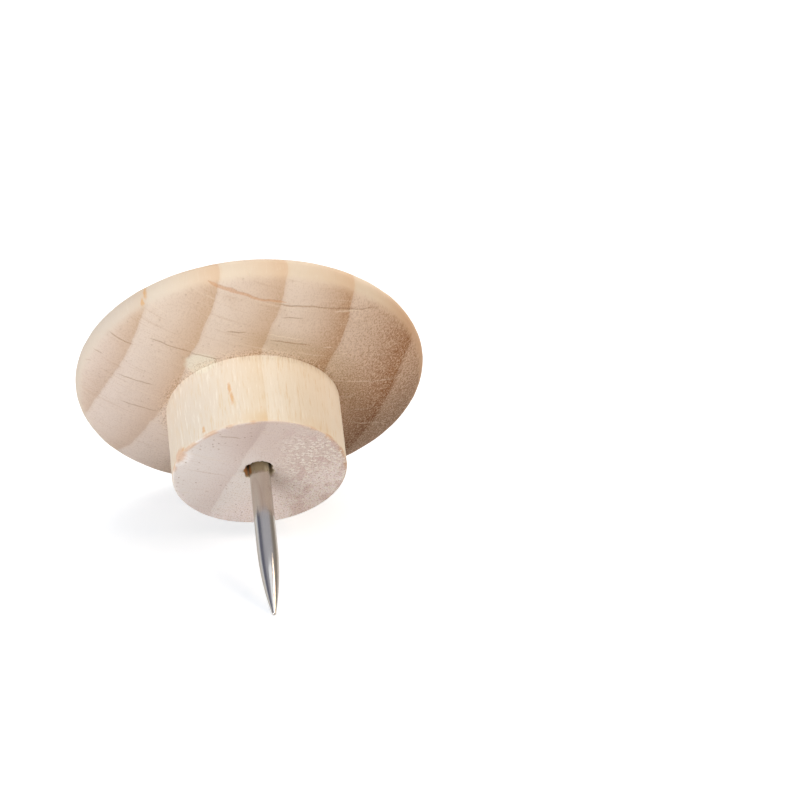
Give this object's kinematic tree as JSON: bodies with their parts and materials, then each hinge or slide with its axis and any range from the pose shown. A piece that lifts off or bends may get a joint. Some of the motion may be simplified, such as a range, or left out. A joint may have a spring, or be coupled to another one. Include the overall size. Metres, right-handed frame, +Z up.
{
  "type": "push pin",
  "caption": "Push pin with a turned wooden mushroom head and a round steel needle glued into the end of its stem.",
  "frame": {"origin": "on the table under the middle of the pin's box, as the pin lies on its rim and its point", "axes": "+Z up from the table, +X across the head, and the needle points towards -Y and down to the table"},
  "size_m": [0.022, 0.022, 0.0191],
  "materials": {
    "wood": "bare turned softwood, unvarnished",
    "steel": "polished wire",
    "glue": "cured adhesive"
  },
  "bodies": {
    "root": {"wooden_head": "wood", "steel_pin": "steel", "glue_sleeve": "glue"}
  },
  "joints": []
}
